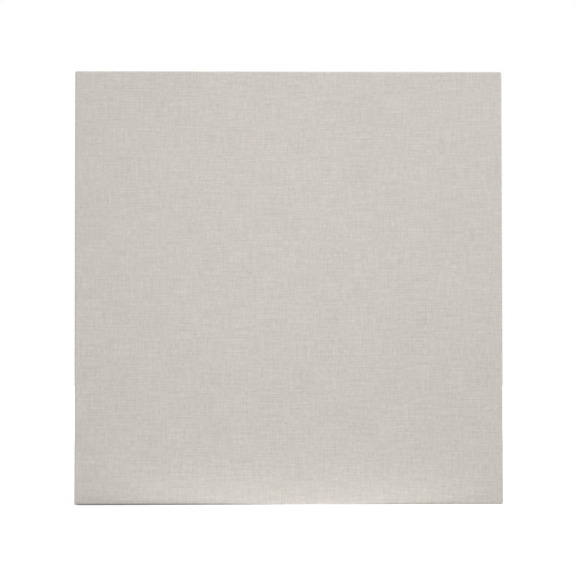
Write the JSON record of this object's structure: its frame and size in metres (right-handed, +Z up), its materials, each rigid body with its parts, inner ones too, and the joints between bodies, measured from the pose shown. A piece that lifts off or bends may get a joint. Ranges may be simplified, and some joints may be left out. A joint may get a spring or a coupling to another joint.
{
  "type": "stretched canvas",
  "caption": "Square-format blank artist's canvas: primed linen stretched round a deep keyed pine frame and stapled at the back.",
  "frame": {"origin": "bottom centre of the whole object, on the surface it stands on", "axes": "+X to the right seen from the front, +Y from the painting face to the back, +Z up"},
  "size_m": [0.602, 0.0382, 0.61],
  "materials": {
    "primed_linen": "matte warm-white ground on slubby plain-weave linen",
    "stretcher_pine": "planed bare pine",
    "key_wood": "sawn bare hardwood",
    "staple_steel": "galvanised wire"
  },
  "bodies": {
    "frame": {"canvas": "primed_linen", "stretcher_bottom": "stretcher_pine", "stretcher_right": "stretcher_pine", "stretcher_top": "stretcher_pine", "stretcher_left": "stretcher_pine", "staples_bottom": "staple_steel", "staples_right": "staple_steel", "staples_top": "staple_steel", "staples_left": "staple_steel", "staples_corner_bottom_left": "staple_steel", "staples_corner_bottom_right": "staple_steel", "staples_corner_top_right": "staple_steel", "staples_corner_top_left": "staple_steel"},
    "key_bottom_left_in_bottom_bar": {"key_bottom_left_in_bottom_bar": "key_wood"},
    "key_bottom_right_in_bottom_bar": {"key_bottom_right_in_bottom_bar": "key_wood"},
    "key_bottom_right_in_right_bar": {"key_bottom_right_in_right_bar": "key_wood"},
    "key_top_right_in_right_bar": {"key_top_right_in_right_bar": "key_wood"},
    "key_top_right_in_top_bar": {"key_top_right_in_top_bar": "key_wood"},
    "key_top_left_in_top_bar": {"key_top_left_in_top_bar": "key_wood"},
    "key_top_left_in_left_bar": {"key_top_left_in_left_bar": "key_wood"},
    "key_bottom_left_in_left_bar": {"key_bottom_left_in_left_bar": "key_wood"}
  },
  "joints": [
    {"name": "slide_key_bottom_left_in_bottom_bar", "type": "slide", "parent": "frame", "child": "key_bottom_left_in_bottom_bar", "axis": [0, 0, 1], "range_m": [0, 0.022]},
    {"name": "slide_key_bottom_right_in_bottom_bar", "type": "slide", "parent": "frame", "child": "key_bottom_right_in_bottom_bar", "axis": [0, 0, 1], "range_m": [0, 0.022]},
    {"name": "slide_key_bottom_right_in_right_bar", "type": "slide", "parent": "frame", "child": "key_bottom_right_in_right_bar", "axis": [-1, 0, 0], "range_m": [0, 0.022]},
    {"name": "slide_key_top_right_in_right_bar", "type": "slide", "parent": "frame", "child": "key_top_right_in_right_bar", "axis": [-1, 0, 0], "range_m": [0, 0.022]},
    {"name": "slide_key_top_right_in_top_bar", "type": "slide", "parent": "frame", "child": "key_top_right_in_top_bar", "axis": [0, 0, -1], "range_m": [0, 0.022]},
    {"name": "slide_key_top_left_in_top_bar", "type": "slide", "parent": "frame", "child": "key_top_left_in_top_bar", "axis": [0, 0, -1], "range_m": [0, 0.022]},
    {"name": "slide_key_top_left_in_left_bar", "type": "slide", "parent": "frame", "child": "key_top_left_in_left_bar", "axis": [1, 0, 0], "range_m": [0, 0.022]},
    {"name": "slide_key_bottom_left_in_left_bar", "type": "slide", "parent": "frame", "child": "key_bottom_left_in_left_bar", "axis": [1, 0, 0], "range_m": [0, 0.022]}
  ]
}
